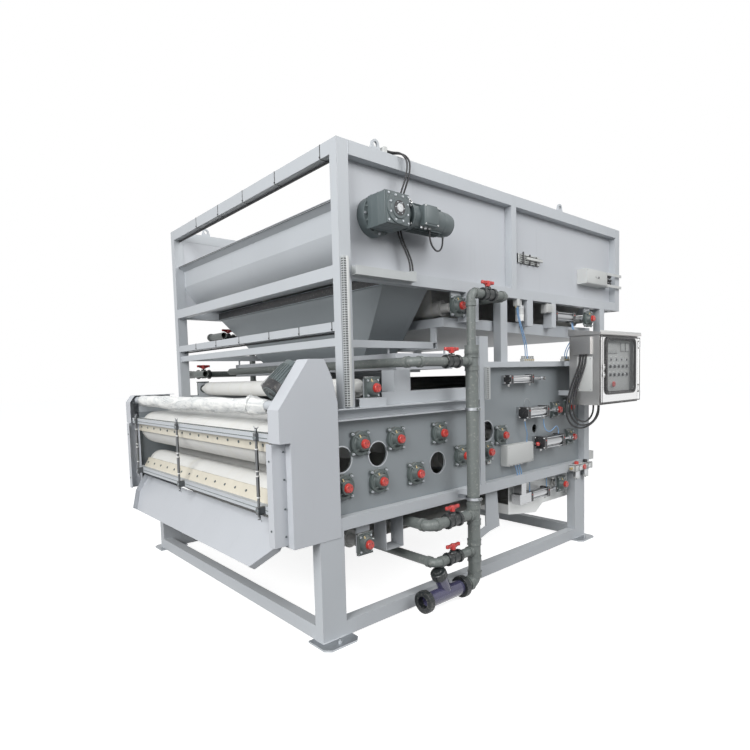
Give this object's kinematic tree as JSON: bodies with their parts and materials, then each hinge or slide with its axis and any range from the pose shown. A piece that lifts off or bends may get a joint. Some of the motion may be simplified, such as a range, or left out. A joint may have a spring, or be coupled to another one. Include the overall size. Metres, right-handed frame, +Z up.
{
  "type": "belt filter press",
  "caption": "Belt filter press: two cloth belts wrap press rollers in a side-plate frame, under a framed belt thickener with hopper, tray, wash pipes and a control cabinet.",
  "frame": {"origin": "on the floor, in the middle of the four foot anchor holes", "axes": "+X from the discharge end to the feed end, +Y to the far side, +Z up; the near side, with the pipes and the cabinet, is -Y"},
  "size_m": [4.2794, 3.1885, 3.107],
  "materials": {
    "bearing_paint": "satin",
    "belt_cloth": "woven",
    "box_grey": "satin",
    "cable_black": "matt",
    "cap_red": "gloss",
    "cylinder_silver": "satin",
    "duct_grey": "satin",
    "film_clear": "gloss",
    "galvanised": "satin",
    "handle_red": "gloss",
    "hose_blue": "satin",
    "motor_paint": "satin",
    "paint_light": "satin",
    "pane": "gloss",
    "pipe_grey": "satin",
    "roller_cover": "satin",
    "scraper_cream": "satin",
    "stainless": "brushed",
    "strainer_violet": "gloss",
    "valve_black": "satin"
  },
  "bodies": {
    "frame": {"air_cylinders": "cylinder_silver", "air_hoses": "hose_blue", "base_beams": "paint_light", "bearing_caps": "cap_red", "bearing_housings": "bearing_paint", "belt_lower": "belt_cloth", "belt_upper": "belt_cloth", "black_cables": "cable_black", "body_beams": "paint_light", "cabinet_arms": "paint_light", "cabinet_box": "stainless", "cabinet_hinges": "stainless", "collecting_tray": "paint_light", "control_boxes": "box_grey", "discharge_chute": "paint_light", "discharge_covers": "paint_light", "discharge_motor": "motor_paint", "distribution_box": "paint_light", "drip_tray": "paint_light", "film_bar": "paint_light", "film_roll": "film_clear", "foot_plates": "galvanised", "guide_rollers": "roller_cover", "inner_frames": "paint_light", "legs": "paint_light", "lifting_lugs": "paint_light", "press_rollers": "roller_cover", "press_side_plates": "paint_light", "rail_stands": "paint_light", "rear_frames": "paint_light", "rear_side_plates": "paint_light", "riser_clamps": "galvanised", "scraper_beams": "paint_light", "scraper_blades": "scraper_cream", "scraper_tie_rods": "valve_black", "splice_posts": "paint_light", "strainer": "strainer_violet", "thickener_gearmotor": "motor_paint", "thickener_rollers": "roller_cover", "thickener_trough": "paint_light", "thickening_belt": "belt_cloth", "top_rails": "paint_light", "transfer_hopper": "paint_light", "under_brackets": "paint_light", "upper_chords": "paint_light", "upper_panels": "paint_light", "upper_posts": "paint_light", "valve_bodies": "valve_black", "water_pipes": "pipe_grey", "wiring_ducts": "duct_grey"},
    "discharge_roller_upper": {"discharge_roller_upper": "roller_cover"},
    "discharge_roller_lower": {"discharge_roller_lower": "roller_cover"},
    "cabinet_door": {"cabinet_door": "stainless", "door_window": "pane"},
    "valve_handle_top": {"valve_handle_top": "handle_red"},
    "valve_handle_middle": {"valve_handle_middle": "handle_red"},
    "valve_handle_low": {"valve_handle_low": "handle_red"},
    "valve_handle_foot": {"valve_handle_foot": "handle_red"},
    "valve_handle_far_top": {"valve_handle_far_top": "handle_red"},
    "valve_handle_far_low": {"valve_handle_far_low": "handle_red"}
  },
  "joints": [
    {"name": "discharge_roller_upper_turn", "type": "hinge", "parent": "frame", "child": "discharge_roller_upper", "pos_m": [-1.625, 0, 1.2], "axis": [0, 1, 0], "continuous": true},
    {"name": "discharge_roller_lower_turn", "type": "hinge", "parent": "frame", "child": "discharge_roller_lower", "pos_m": [-1.599, 0, 0.868], "axis": [0, 1, 0], "continuous": true},
    {"name": "cabinet_door_hinge", "type": "hinge", "parent": "frame", "child": "cabinet_door", "pos_m": [1.908, -1.6765, 1.6025], "axis": [0, 0, 1], "range_deg": [0, 110]},
    {"name": "valve_handle_top_turn", "type": "hinge", "parent": "frame", "child": "valve_handle_top", "pos_m": [-0.102, -1.45, 2.2475], "axis": [0, 0, 1], "range_deg": [0, 90]},
    {"name": "valve_handle_middle_turn", "type": "hinge", "parent": "frame", "child": "valve_handle_middle", "pos_m": [-0.517, -1.45, 1.7635], "axis": [0, 0, 1], "range_deg": [0, 90]},
    {"name": "valve_handle_low_turn", "type": "hinge", "parent": "frame", "child": "valve_handle_low", "pos_m": [-0.535, -1.45, 0.6715], "axis": [0, 0, 1], "range_deg": [0, 90]},
    {"name": "valve_handle_foot_turn", "type": "hinge", "parent": "frame", "child": "valve_handle_foot", "pos_m": [-0.535, -1.45, 0.4005], "axis": [0, 0, 1], "range_deg": [0, 90]},
    {"name": "valve_handle_far_top_turn", "type": "hinge", "parent": "frame", "child": "valve_handle_far_top", "pos_m": [-0.704, 1.45, 2.1255], "axis": [0, 0, 1], "range_deg": [0, 90]},
    {"name": "valve_handle_far_low_turn", "type": "hinge", "parent": "frame", "child": "valve_handle_far_low", "pos_m": [-1, 1.45, 1.7475], "axis": [0, 0, 1], "range_deg": [0, 90]}
  ]
}
